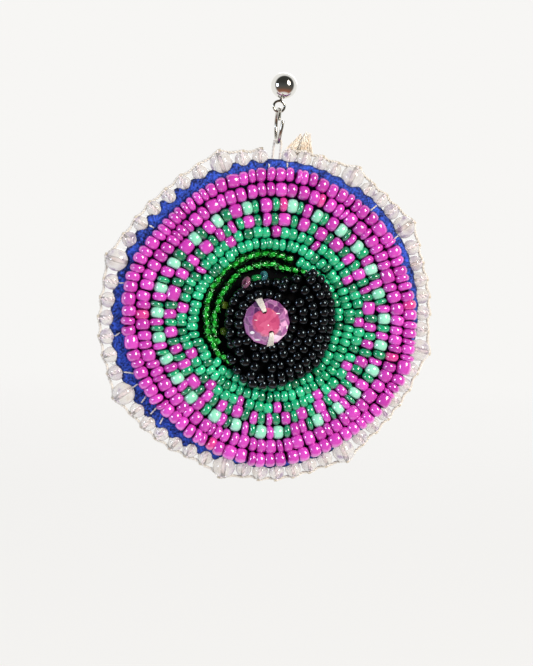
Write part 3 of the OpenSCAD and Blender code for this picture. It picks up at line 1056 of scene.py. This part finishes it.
# The painted white glints, in millimetres from the stone's middle: right, up, width and height.
STONE_PAINTED_GLINTS = [
    (-2.5, -1.9, 0.8, 0.6), (-1.5, -3.15, 1.1, 0.35), (1.7, 1.55, 0.9, 0.16), (3.55, -0.8, 0.3, 0.9),
    (0.1, -0.5, 0.3, 0.25), (-2.1, 0.3, 0.6, 0.12),
]

def facets(where, size, uneven, out="Color", **settings):
    """Cells like facets, by one of their outputs."""
    inputs = {"Vector": where, "Scale": size, "Randomness": uneven}
    return where.node("ShaderNodeTexVoronoi", inputs, out, **settings)


stone_paint, shader, flow = new_finish(
    "pink_foiled_acrylic", Roughness=0.05, Coat_Weight=1.0, Coat_Roughness=0.02, IOR=1.5
)
from_middle = front_way(flow, stone_centre)
spread = from_middle.length() * (1 / stone_r)
rightward, upward = from_middle.axis("X"), from_middle.axis("Z")
around = flow.math("ARCTAN2", rightward, upward) * (STONE_SECTORS / math.tau)
fan = flow.node("ShaderNodeCombineXYZ", {"X": around, "Y": spread * STONE_FACET_ROWS})
facet_edge = facets(fan, 1.0, STONE_UNEVEN, "Distance", feature="DISTANCE_TO_EDGE")
# Painted light: the plum facets grow lighter toward the lower right.
painted_light_slope = (rightward - upward) * (STONE_LIGHT_SLOPE / stone_r)
tones = []
# The facet tones are the stone's pink with painted reflections: rose cells in the table, plum ones
# round it.
for facet, stops, light_slope in (
    (facets(from_middle, STONE_TABLE_FACETS, 1.0), STONE_ROSE, 0.0),
    (facets(fan, 1.0, STONE_UNEVEN), STONE_PLUM, painted_light_slope),
):
    level = flow.node("ShaderNodeSeparateColor", {"Color": facet}, "Red")
    clouds = flow.noise(900, 3.0) * STONE_CLOUDS
    tones.append((level * STONE_CONTRAST + clouds + light_slope).ramp(*stops))
ragged = spread + (flow.noise(500) - 0.5) * STONE_RAGGED
beyond = ragged.span(STONE_TABLE - STONE_TABLE_EDGE, STONE_TABLE + STONE_TABLE_EDGE)
tone = flow.mix(beyond, *tones)
# Painted highlights: pale lines along the facet edges, then the white glints.
edge_highlight = facet_edge.span(0.0, STONE_FACET_EDGE, STONE_EDGE_HIGHLIGHT_SHARE, 0.0)
tone = flow.mix(edge_highlight * beyond, tone, paint(*STONE_EDGE_HIGHLIGHT))
for right_of, above, width, height in STONE_PAINTED_GLINTS:
    off = flow.vector("SUBTRACT", from_middle, (right_of * MM, 0, above * MM))
    off = flow.vector("MULTIPLY", off, (2 / width / MM, 0, 2 / height / MM)).length()
    tone = flow.mix(off.span(0.7, 1.0, 0.9, 0.0), tone, (1, 1, 1, 1))
feed(shader, Base_Color=tone)
dress(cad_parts["sew_on_stone"], stone_paint)


# The clear beads on the rim: pressed glass, nearly round and faintly tinted lilac and brown,
# each drilled straight out from the felt.
CLEAR_GLASS = (250, 247, 242)
CLEAR_TINTS = [
    (0.3, (168, 148, 182)), (0.4, (232, 225, 232)), (0.5, (252, 250, 247)), (0.7, (238, 230, 221)),
]
CLEAR_SHARE = 0.74
CLEAR_DULL = 0.06
CLEAR_SIDES = 28
CLEAR_ACROSS = 17
CLEAR_TILT = math.radians(7)
CLEAR_WANDER = 0.05 * MM
CLEAR_HOLE = 0.17
CLEAR_HOLE_SHADE = (180, 166, 160)
CLEAR_HOLE_SHADING = 0.4
CLEAR_HOLE_DULL = 0.3

clear, shader, flow = new_finish("clear_bead_glass", Transmission_Weight=CLEAR_SHARE, IOR=1.42)
end = flow.attribute("end")
tints = flow.noise(620).ramp(*CLEAR_TINTS)
# Painted shade: each clear bead darkens into its hole.
hole_shaded = flow.mix((end ** 5.0) * CLEAR_HOLE_SHADING, tints, paint(*CLEAR_HOLE_SHADE))
feed(shader, Base_Color=hole_shaded, Roughness=(end ** 6.0) * CLEAR_HOLE_DULL + CLEAR_DULL)


def edging_points(large, chance):
    """Points for the edging beads of one size, each with its hole turned outwards."""
    beads = []
    for at, out, radius in EDGE_BEADS:
        if (radius == large_bead_r) == large:
            outward = Matrix((
                (math.sin(at), math.cos(at), 0), (0, 0, -1), (math.cos(at), -math.sin(at), 0),
            ))
            size = (radius * 2 * chance.uniform(0.9, 0.98), radius * 2, radius * 2)
            place = on_clock(felt_centre, at, out)
            beads.append((place, outward.to_euler(), size, 0, paint(*CLEAR_GLASS)))
    return beads


clear_form = bead_form("clear_bead", 1.0, CLEAR_SIDES, CLEAR_ACROSS, CLEAR_HOLE)
clear_grower = bead_tree("edging_beads", clear, [clear_form])
for name, large, nodes in (
    ("small_clear_beads", False, ["small_edge_beads"]),
    ("large_clear_beads", True, [f"large_bead_{i}" for i in range(1, len(SMALLS_IN_RUN))]),
):
    points = points_mesh(edging_points(large, random.Random(41)))
    beads = grow(name, points, clear_grower, Wander=CLEAR_WANDER, Tilt=CLEAR_TILT, Seed=9)
    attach(beads, "medallion")
    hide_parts(*nodes)


# The white sewing thread, of two plies: a run from the outer end of one edging bead to the
# next, a strand through each bead, and short stitches where it enters the felt.
THREAD_WHITE = (228, 224, 217)
THREAD_SHADE = (205, 198, 189)
THREAD_LIFT = 0.06 * MM
THREAD_SAG = 0.35 * MM
PLIES = 2
THREAD = {
    "Ply": 0.3 * MM, "Spread": 0.13 * MM, "Pitch": 1.2 * MM, "Step": 0.12 * MM, "Sides": 6,
}
SEWING = THREAD | {"Ply": 0.162 * MM, "Spread": 0.0715 * MM, "Step": 0.1 * MM}
RUN_SHARES = (0.12, 0.3, 0.5, 0.7, 0.88)
STITCH_PROUD = 0.12 * MM
STITCH_SINK = 0.3 * MM

# Columns of BACK_STITCH, in millimetres: how far inside an edging bead a point of its stitch
# lies, and how far behind the felt's middle plane.
BACK_STITCH = [(0.0, 0.0), (0.35, 0.6), (0.6, 1.12), (2.2, 1.12), (2.4, 0.5)]
STRAND_TONE = (224, 212, 216)
STRAND_PAINTED_GLOW = 0.62
KNOT_SHADE_TONE = (208, 198, 182)
KNOT_R = 0.2 * MM
KNOT_TURNS = 2.5
KNOT_POINTS = 31
KNOT_LENGTH = 0.52 * MM
KNOT_ASIDE = 0.3 * MM
KNOT_THICK = 0.2 * MM

# Columns of FRONT_STITCHES: clockwise angle in the photo, length in millimetres, and degrees
# clockwise to the inner end, of the short stitches on the felt inside the edging beads.
FRONT_STITCHES = [
    (1, 1.0, 0.0), (8, 0.5, 0.1), (46, 1.2, -0.3), (60, 1.4, 0.3), (224.5, 0.9, 0.6),
    (229.5, 1.3, 0.3), (235, 1.0, 0.8), (241.5, 0.8, 0.2), (248, 1.5, -2.0), (262, 0.7, 0.8),
    (282, 0.6, 0.3), (307, 0.6, 0.2),
]

# Columns of STONE_STITCHES, in degrees clockwise round the stone: one hole's own angle, and
# the angle at which its stitch goes over the rim. The strands of a stitch lie side by side.
STONE_STITCHES = [(-20, -21.5), (160, 169)]
STONE_STRANDS = (-0.44, -0.22, 0.0, 0.22, 0.44)

# Columns of STONE_STITCH, in millimetres: distance from the stone's middle, depth behind its
# table, and how far along the stitch that is, from 0 in the hole to 1 at the rim.
STONE_STITCH = [
    (2.0, 0.9, 0.0), (2.0, -0.12, 0.0), (2.5, -0.1, 0.4), (3.3, 0.6, 0.8), (4.05, 1.45, 1.0),
    (4.3, 2.5, 1.0),
]

thread, shader, flow = new_finish("white_thread_cotton", Roughness=0.85, Sheen_Weight=0.3)
feed(shader, Base_Color=flow.noise(5200, 3.0).ramp((0.25, THREAD_SHADE), (0.6, THREAD_WHITE)))
# Painted shade: the turns of thread at each bead's hole take a darker tone.
shaded_thread, shader, flow = new_finish(
    "thread_in_the_holes", Base_Color=paint(*KNOT_SHADE_TONE), Roughness=0.85
)
# The strands inside the clear beads glow: painted light in place of what reaches them through the
# glass.
glowing_thread, shader, flow = new_finish(
    "thread_lit_through_glass", Base_Color=paint(*STRAND_TONE), Roughness=0.85,
    Emission_Color=paint(*STRAND_TONE), Emission_Strength=STRAND_PAINTED_GLOW,
)


def thread_tree(name, material):
    """Thread along a path: its plies wind round the path at a pitch, a spread off it."""
    given = new_tree(name, Ply="Float", Spread="Float", Pitch="Float", Step="Float", Sides="Int")
    start = given["Geometry"]
    curve = start.node("GeometryNodeMeshToCurve", {"Mesh": start})
    cut = {"Curve": curve, "Length": given["Step"]}
    path = start.node("GeometryNodeResampleCurve", cut, mode="LENGTH")
    normal = start.node("GeometryNodeInputNormal")
    beside = start.vector("CROSS_PRODUCT", start.node("GeometryNodeInputTangent"), normal)
    far = start.node("GeometryNodeSplineParameter", out="Length")
    turn = start.math("DIVIDE", far, given["Pitch"]) * math.tau
    plies = []
    for i in range(PLIES):
        phase = turn + math.tau * i / PLIES
        out, aside = (start.math(wave, phase) * given["Spread"] for wave in ("COSINE", "SINE"))
        offset = start.vector("ADD", normal.scaled(out), beside.scaled(aside))
        ply = start.node("GeometryNodeSetPosition", {"Geometry": path, "Offset": offset})
        plies.append(tube(ply, given["Ply"], given["Sides"]))
    return end_tree(join(plies), material)


def edging_paths():
    """The outer run with each bead's stitch at the back, and the strands inside the beads."""
    run, stitches, strands = [], [], []
    for i, (at, out, radius) in enumerate(EDGE_BEADS):
        pole = out + radius + THREAD_LIFT
        inner = out - radius
        run.append(on_clock(felt_centre, at, pole))
        if i + 1 < len(EDGE_BEADS):
            after, out_after, radius_after = EDGE_BEADS[i + 1]
            rise = out_after + radius_after + THREAD_LIFT - pole
            for share in RUN_SHARES:
                sag = THREAD_SAG * math.sin(math.pi * share) ** 2
                between = at + (after - at) * share
                run.append(on_clock(felt_centre, between, pole + rise * share - sag))
        strands.append([on_clock(felt_centre, at, reach) for reach in (pole, out, inner)])
        stitches.append([
            on_clock(felt_centre, at, inner - inside * MM, behind * MM)
            for inside, behind in BACK_STITCH
        ])
    return [run] + stitches, strands


def front_stitches():
    """Short stitches from the edging beads over the felt's front, and back down into it."""
    paths = []
    for degrees, length, lean in FRONT_STITCHES:
        at = math.radians(degrees - CAMERA_ROLL_DEGREES)
        apart = [abs((bead[0] - at + math.pi) % math.tau - math.pi) for bead in EDGE_BEADS]
        near, out, radius = EDGE_BEADS[apart.index(min(apart))]
        start = out - radius * 0.96
        end = start - length * MM
        front = -felt_half - STITCH_PROUD
        turned_at = at + math.radians(lean)
        paths.append([
            on_clock(felt_centre, at, start + STITCH_SINK, front * 0.5),
            on_clock(felt_centre, at, start, front),
            on_clock(felt_centre, turned_at, end, front),
            on_clock(felt_centre, turned_at, end - STITCH_SINK, -felt_half * 0.5),
        ])
    return paths


def stone_stitches():
    """The strands out of each of the stone's holes, side by side over its facets to the mound."""
    paths = []
    for hole, rim in STONE_STITCHES:
        for aside in STONE_STRANDS:
            path = []
            for reach, behind, along in STONE_STITCH:
                beside = aside * (0.5 + 0.5 * along) / reach
                at = math.radians(hole + (rim - hole) * along) + beside
                depth = stone_low.y - stone_centre.y + behind * MM
                path.append(on_clock(stone_centre, at, reach * MM, depth))
            paths.append(path)
    return paths


def knot_paths():
    """Where the thread leaves each edging bead's hole: tight turns of it round the run."""
    paths = []
    for at, out, radius in EDGE_BEADS:
        path = []
        for i in range(KNOT_POINTS):
            share = i / (KNOT_POINTS - 1)
            turn = math.tau * KNOT_TURNS * share
            aside = KNOT_ASIDE + KNOT_LENGTH * (share - 0.5)
            reach = out + radius + THREAD_LIFT + KNOT_R * math.cos(turn)
            path.append(on_clock(felt_centre, at + aside / reach, reach, KNOT_R * math.sin(turn)))
        paths.append(path)
    return paths


thread_grower = thread_tree("two_ply_thread", thread)
on_the_felt, in_the_beads = edging_paths()
edging = grow("edging_sewing_thread", path_mesh(*on_the_felt), thread_grower, **THREAD)
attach(edging, "medallion")
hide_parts("edging_thread")
strand_grower = thread_tree("strand_in_glass", glowing_thread)
strands = grow("strands_in_clear_beads", path_mesh(*in_the_beads), strand_grower, **THREAD)
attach(strands, "medallion")
knotted = grow(
    "knots_on_the_run", path_mesh(*knot_paths()), wire_tree("knot_turns", shaded_thread),
    Thickness=KNOT_THICK, Sides=THREAD["Sides"],
)
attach(knotted, "medallion")
stitch_paths = path_mesh(*front_stitches(), *stone_stitches())
sewn = grow("sewn_stitches", stitch_paths, thread_grower, **SEWING)
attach(sewn, "medallion")


# The hanging loop: the same thread, doubled, sewn into the felt's top edge and passed round
# the jump ring.
HANG_PLY = 0.24 * MM
HANG_STEPS = 12

hang_x = (hang_low.x + hang_high.x) / 2
hang_r = (hang_high.x - hang_low.x) / 2 - HANG_PLY
hang_top = Vector((hang_x, ring_centre.y, ring_low.z + ring_wire / 2))
hang_foot = Vector((hang_x, felt_centre.y - 0.1 * MM, felt_high.z - 0.5 * MM))
hang_down = (hang_foot - hang_top).normalized()
hang_path = [hang_foot + Vector((-hang_r, 0, 0))]
for i in range(HANG_STEPS + 1):
    turn = math.pi * i / HANG_STEPS
    aside = Vector((-hang_r * math.cos(turn), 0, 0))
    hang_path.append(hang_top + aside - hang_down * hang_r * math.sin(turn))
hang_path.append(hang_foot + Vector((hang_r, 0, 0)))
hang_thread = THREAD | {"Ply": HANG_PLY, "Spread": HANG_PLY / 2, "Sides": 8}
hanging = grow("hanging_thread_loop", path_mesh(hang_path), thread_grower, **hang_thread)
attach(hanging, "medallion")
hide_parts("hanging_loop")


# The tuft: the frayed end of a thicker cord, left behind the first two beads after the gap.
# Its fibres lean together into a ragged wedge.
TUFT_CREAM = (255, 250, 240)
TUFT_GOLD = (248, 230, 208)
TUFT_LOCKS = 15
TUFT_FIBRES_IN_LOCK = 34
TUFT_FIBRE = 0.07 * MM
TUFT_POINTS = 7
TUFT_WAVE = 0.16 * MM

# The wedge from the front, in millimetres right of and above the tuft's own middle: the
# ends of its foot, and the ends of its ragged top.
TUFT_FOOT = ((-2.6, -2.0), (2.6, -2.3))
TUFT_TOP = ((0.55, 1.85), (2.1, 1.35))

tuft_low, tuft_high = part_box("thread_tuft")
tuft_middle = (tuft_low + tuft_high) / 2


def tuft_paths():
    """Fibres in locks from the wedge's foot to its top, waved and of uneven length."""
    chance = random.Random(51)
    paths = []
    for i in range(TUFT_LOCKS * TUFT_FIBRES_IN_LOCK):
        if i % TUFT_FIBRES_IN_LOCK == 0:
            lock_share = (i / TUFT_FIBRES_IN_LOCK + chance.random()) / TUFT_LOCKS
            lock_lean = lock_share + chance.uniform(-0.25, 0.25)
            lock_reach = chance.uniform(0.75, 1.15)
            lock_deep = chance.uniform(-0.45, 0.6)
            phase = chance.uniform(0, math.tau)
        share = min(1.0, max(0.0, lock_share + chance.uniform(-0.12, 0.12)))
        lean = min(1.2, max(-0.2, lock_lean + chance.uniform(-0.12, 0.12)))
        foot = [a + (b - a) * share for a, b in zip(*TUFT_FOOT)]
        top = [a + (b - a) * lean for a, b in zip(*TUFT_TOP)]
        reach = lock_reach * chance.uniform(0.5, 1.0) ** 0.5
        deep = lock_deep + chance.uniform(-0.12, 0.12)
        phase += chance.uniform(-0.3, 0.3)
        path = []
        for k in range(TUFT_POINTS):
            t = k / (TUFT_POINTS - 1) * reach
            wave = TUFT_WAVE * math.sin(phase + t * 7)
            path.append(tuft_middle + Vector((
                (foot[0] + (top[0] - foot[0]) * t) * MM + wave,
                deep * MM * (1 - 0.3 * t) + wave * 0.6,
                (foot[1] + (top[1] - foot[1]) * t) * MM,
            )))
        paths.append(path)
    return paths


tuft_thread, shader, flow = new_finish("frayed_cotton", Roughness=0.8, Sheen_Weight=0.4)
feed(shader, Base_Color=flow.noise(1900, 3.0).ramp((0.38, TUFT_GOLD), (0.56, TUFT_CREAM)))
tuft = grow(
    "frayed_tuft", path_mesh(*tuft_paths()), wire_tree("tuft_fibre", tuft_thread),
    Thickness=TUFT_FIBRE, Sides=3,
)
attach(tuft, "medallion")
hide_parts("thread_tuft")


# The studio: a pale floor that fades into a pale surround, three soft boxes, and a dark
# room in front that shows only in what is polished.
PALE = (247, 246, 244)
SURROUND_LIGHT = 0.32
MIRRORED_PALE = 1.3
PALE_FROM = -0.16
PALE_TO = 0.1
PALE_LEAN = 0.12
FLOOR_FROM = 0.78
FLOOR_TO = 0.92
SEEN_THROUGH_FRONT = 0.35
SEEN_THROUGH_BACK = 0.98
FLOOR_BELOW = 60 * MM
FLOOR_R = 1600 * MM
FLOOR_FADE = 380 * MM
FLOOR_GLOW = 0.88
SOFT_BOXES = [
    # direction right, to the back and up, distance, width, height, watts, colour
    ((0.54, -0.72, 0.44), 700 * MM, 260 * MM, 400 * MM, 5.4, (255, 246, 234)),
    ((-0.94, -0.42, 0.10), 700 * MM, 200 * MM, 240 * MM, 2.2, (226, 236, 255)),
    ((0.30, 0.85, 0.43), 900 * MM, 600 * MM, 600 * MM, 1.4, (250, 250, 255)),
]

# The room that polished things mirror, by how high it lies: warm below and olive grey above.
MIRRORED_ROOM = [
    (0.12, (158, 100, 78)), (0.3, (100, 88, 78)), (0.5, (80, 82, 80)), (0.75, (58, 58, 55)),
]

world = bpy.data.worlds.new("surround")
bpy.context.scene.world = world
world.use_nodes = True
sky = Flow(world.node_tree)
direction = sky.node("ShaderNodeTexCoord", out="Generated")
behind, level = direction.axis("Y"), direction.axis("Z")
from_back = (behind - level * PALE_LEAN).span(PALE_FROM, PALE_TO)
from_below = (0.0 - level).span(FLOOR_FROM, FLOOR_TO)
lit = sky.math("MAXIMUM", from_back, from_below)
camera_ray = sky.node("ShaderNodeLightPath", out="Is Camera Ray")
through = sky.node("ShaderNodeLightPath", out="Is Transmission Ray")
mirrored = sky.node("ShaderNodeLightPath", out="Is Glossy Ray") * (1.0 - through)
room = (level * 0.5 + 0.5).ramp(*MIRRORED_ROOM)
hue = sky.mix(mirrored * (1.0 - lit), paint(*PALE), room)
seen_through = behind.span(-0.1, 0.75, SEEN_THROUGH_FRONT, SEEN_THROUGH_BACK)
strength = SURROUND_LIGHT
for kind_of_ray, light in (
    (camera_ray, 1.0), (through, seen_through), (mirrored, MIRRORED_PALE),
):
    strength = sky.node("ShaderNodeMix", {"Factor": kind_of_ray, 2: strength, 3: light})
shine = world.node_tree.nodes["Background"]
feed(shine, Color=hue, Strength=strength)

for i, (way, distance, width, height, watts, colour) in enumerate(SOFT_BOXES):
    lamp = bpy.data.lights.new(f"soft_box_{i + 1}", "AREA")
    lamp.shape = "ELLIPSE"
    lamp.size, lamp.size_y = width, height
    lamp.energy = watts
    lamp.color = paint(*colour)[:3]
    box = bpy.data.objects.new(lamp.name, lamp)
    box.location = felt_centre + Vector(way).normalized() * distance
    box.rotation_mode = "QUATERNION"
    box.rotation_quaternion = Vector(way).to_track_quat("Z", "Y")
    box.visible_transmission = False
    bpy.context.scene.collection.objects.link(box)

floor_level = cad_box[0].z - FLOOR_BELOW
floor_corners = [(-1, -1), (1, -1), (1, 1), (-1, 1)]
floor_points = [(x * FLOOR_R, y * FLOOR_R, floor_level) for x, y in floor_corners]
floor = bpy.data.objects.new("floor", new_mesh("floor", floor_points, [(0, 1, 2, 3)]))
bpy.context.scene.collection.objects.link(floor)
floor_paint, shader, flow = new_finish(
    "floor_paint", Base_Color=tuple((1 - FLOOR_GLOW) * c for c in paint(*PALE)[:3]) + (1.0,),
    Roughness=0.9, Specular_IOR_Level=0.0,
    Emission_Color=paint(*PALE), Emission_Strength=FLOOR_GLOW,
)
away = flow.place().length()
fade = away.span(FLOOR_FADE, FLOOR_FADE * 3, interpolation_type="SMOOTHSTEP")
painted = Flow(flow.tree, shader.outputs[0])
nothing = flow.node("ShaderNodeBsdfTransparent")
mixed = flow.node("ShaderNodeMixShader", {0: fade, 1: painted, 2: nothing})
flow.tree.links.new(mixed.socket, flow.tree.nodes["Material Output"].inputs["Surface"])
dress(floor, floor_paint)
floor.visible_glossy = False
bpy.context.scene.view_settings.view_transform = "Standard"

CAMERA_AZIMUTH = math.radians(-8)
CAMERA_RISE = math.radians(3)
CAMERA_ROLL = math.radians(CAMERA_ROLL_DEGREES)
CAMERA_DISTANCE = 400 * MM
CAMERA_SEES_FROM = 10 * MM
CAMERA_SEES_TO = 20
PHOTO_SIZE = (533, 666)
PHOTO_SCALE = 5.76
FELT_IN_PHOTO = (265.6, 313.1)
SENSOR = 36

camera = bpy.data.cameras.new("camera")
camera.sensor_width = SENSOR
camera.lens = PHOTO_SCALE * CAMERA_DISTANCE / MM * SENSOR / PHOTO_SIZE[1]
camera.clip_start = CAMERA_SEES_FROM
camera.clip_end = CAMERA_SEES_TO
camera_object = bpy.data.objects.new("camera", camera)
bpy.context.scene.collection.objects.link(camera_object)
bpy.context.scene.camera = camera_object
toward_camera = Vector((
    math.sin(CAMERA_AZIMUTH) * math.cos(CAMERA_RISE),
    -math.cos(CAMERA_AZIMUTH) * math.cos(CAMERA_RISE),
    math.sin(CAMERA_RISE),
))
turn = (-toward_camera).to_track_quat("-Z", "Y") @ Euler((0, 0, CAMERA_ROLL)).to_quaternion()
right, up = turn @ Vector((1, 0, 0)), turn @ Vector((0, 1, 0))
aside = (PHOTO_SIZE[0] / 2 - FELT_IN_PHOTO[0]) / PHOTO_SCALE * MM
below = (PHOTO_SIZE[1] / 2 - FELT_IN_PHOTO[1]) / PHOTO_SCALE * MM
aim = felt_centre + right * aside - up * below
camera_object.rotation_mode = "QUATERNION"
camera_object.rotation_quaternion = turn
camera_object.location = aim + toward_camera * CAMERA_DISTANCE
